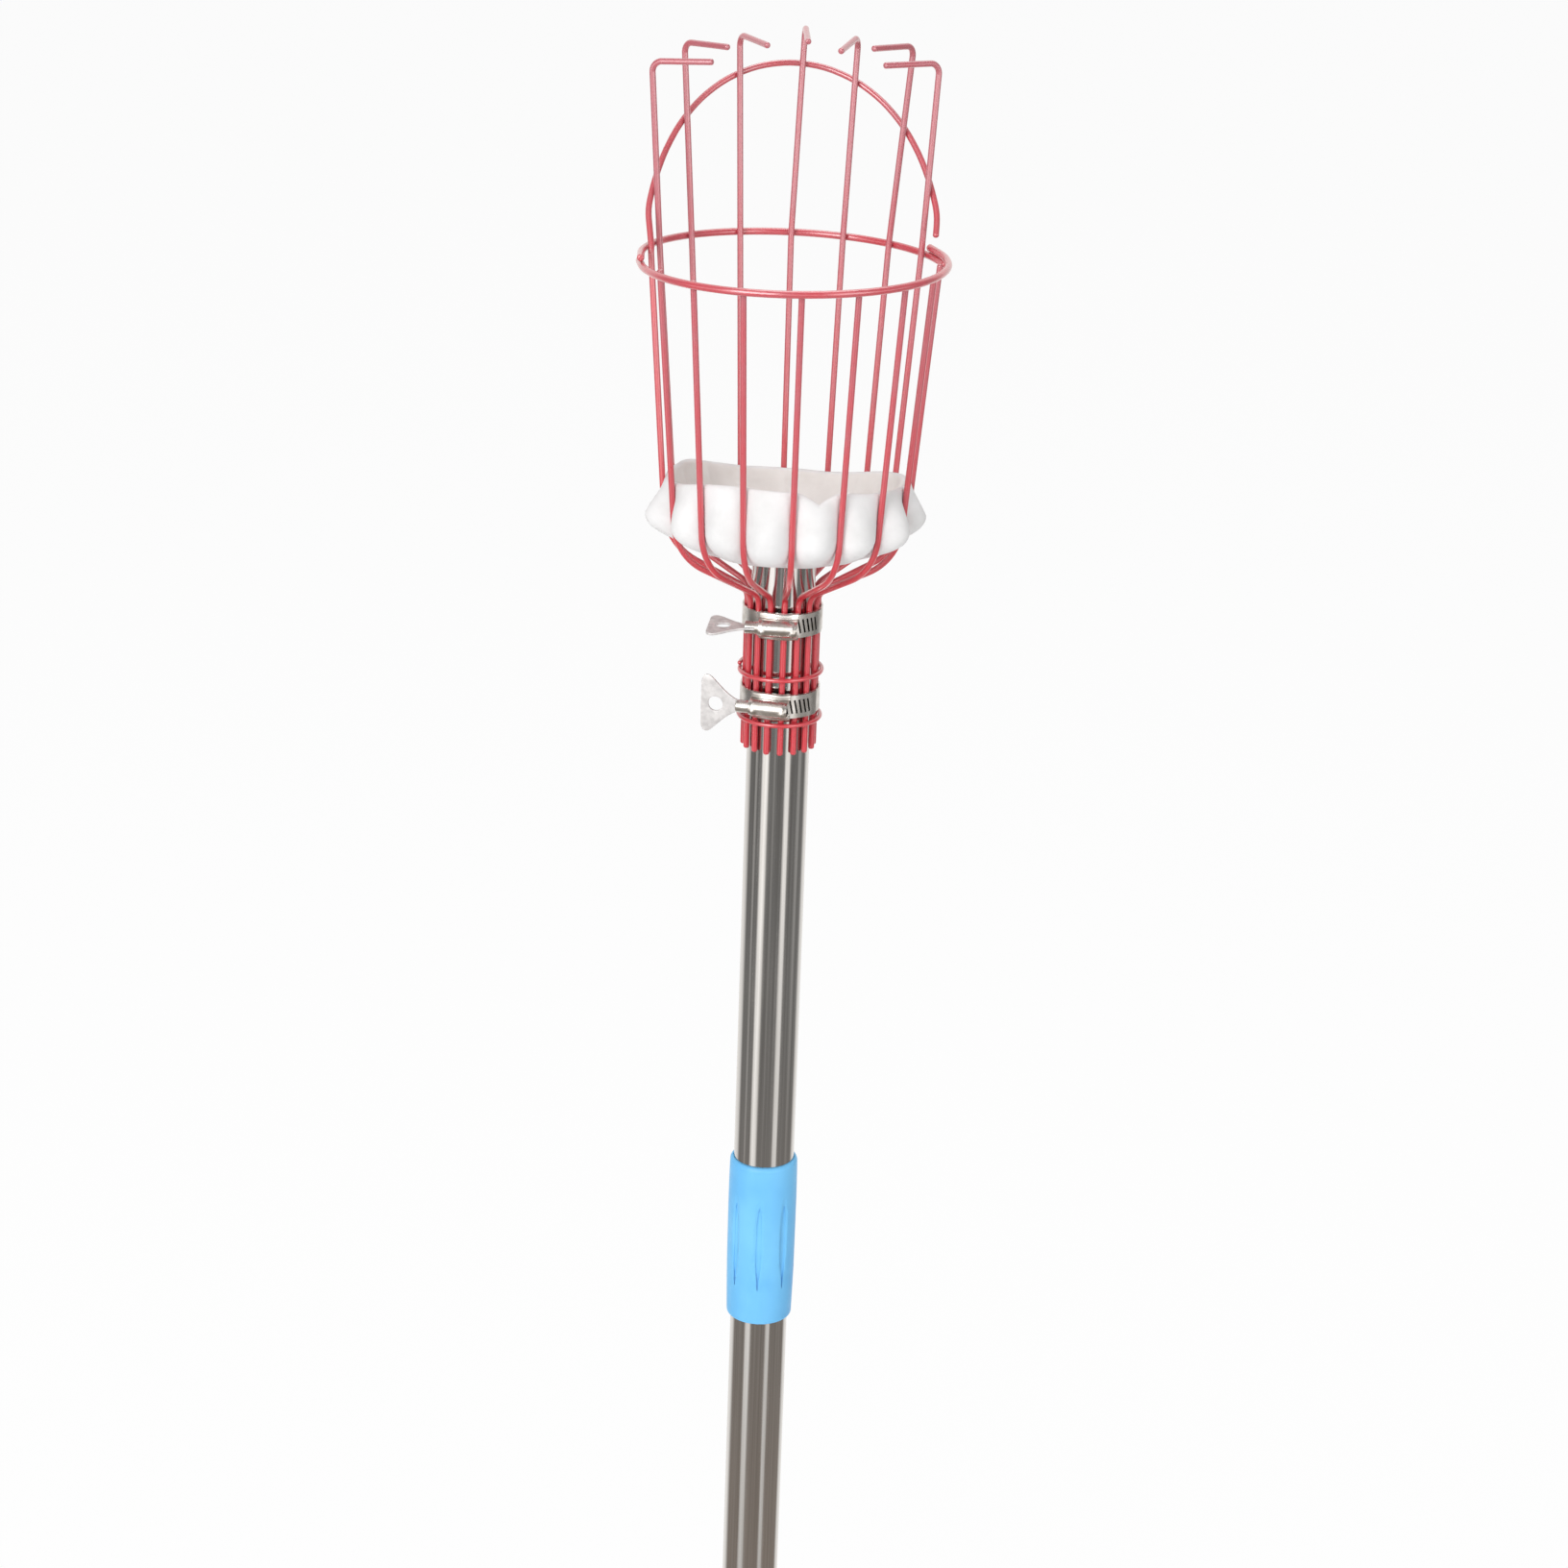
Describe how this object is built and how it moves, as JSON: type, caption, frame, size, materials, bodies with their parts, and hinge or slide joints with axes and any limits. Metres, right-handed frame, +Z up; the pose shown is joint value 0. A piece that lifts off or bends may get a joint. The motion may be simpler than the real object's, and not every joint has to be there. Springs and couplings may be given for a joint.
{
  "type": "fruit picker",
  "caption": "Fruit picker: open wire basket with hooked fingers and a foam bed, clamped to a telescopic metal pole with a twist lock and a plastic grip sleeve.",
  "frame": {"origin": "centre of the bottom face of the pole's end cap", "axes": "+Z up the pole to the basket, -Y to the open front of the basket, +X to the right seen from the front"},
  "size_m": [0.1339, 0.1373, 0.8932],
  "materials": {
    "red_coating": "red dipped coating on steel wire, satin",
    "clamp_steel": "bright stainless steel",
    "pole_steel": "polished stainless tube",
    "blue_plastic": "satin moulded plastic",
    "white_foam": "soft foam sheet",
    "black_plastic": "moulded plastic"
  },
  "bodies": {
    "lower_pole": {"lower_tube": "pole_steel", "end_cap": "black_plastic", "lock_plug": "black_plastic", "lock_screw": "clamp_steel"},
    "lock_expander": {"lock_collet": "black_plastic", "lock_cone": "black_plastic"},
    "upper_pole": {"upper_tube": "pole_steel", "grip_sleeve": "blue_plastic"},
    "basket_head": {"long_wire_1": "red_coating", "long_wire_2": "red_coating", "long_wire_3": "red_coating", "long_wire_4": "red_coating", "long_wire_5": "red_coating", "long_wire_6": "red_coating", "long_wire_7": "red_coating", "short_wire_1": "red_coating", "short_wire_2": "red_coating", "short_wire_3": "red_coating", "short_wire_4": "red_coating", "short_wire_5": "red_coating", "short_wire_6": "red_coating", "short_wire_7": "red_coating", "side_wire": "red_coating", "arch_wire": "red_coating", "back_hoop": "red_coating", "front_hoop": "red_coating", "upper_binding_ring": "red_coating", "lower_binding_ring": "red_coating", "foam_pad": "white_foam", "upper_clamp_band": "clamp_steel", "upper_clamp_housing": "clamp_steel", "lower_clamp_band": "clamp_steel", "lower_clamp_housing": "clamp_steel"},
    "upper_thumbscrew": {"upper_clamp_screw": "clamp_steel", "upper_clamp_key": "clamp_steel"},
    "lower_thumbscrew": {"lower_clamp_screw": "clamp_steel", "lower_clamp_key": "clamp_steel"}
  },
  "joints": [
    {"name": "twist_lock", "type": "hinge", "parent": "lower_pole", "child": "lock_expander", "pos_m": [0, 0, 0.36], "axis": [0, 0, 1], "range_deg": [0, 360]},
    {"name": "pole_extend", "type": "slide", "parent": "lock_expander", "child": "upper_pole", "axis": [0, 0, 1], "range_m": [-0.26, 0]},
    {"name": "head_slide", "type": "slide", "parent": "upper_pole", "child": "basket_head", "axis": [0, 0, 1], "range_m": [0, 0.1]},
    {"name": "upper_clamp_turn", "type": "hinge", "parent": "basket_head", "child": "upper_thumbscrew", "pos_m": [-0.00299, -0.02129, 0.6465], "axis": [0.9903, -0.1392, 0], "continuous": true},
    {"name": "lower_clamp_turn", "type": "hinge", "parent": "basket_head", "child": "lower_thumbscrew", "pos_m": [-0.00593, -0.02067, 0.6095], "axis": [0.9613, -0.2756, 0], "continuous": true}
  ]
}
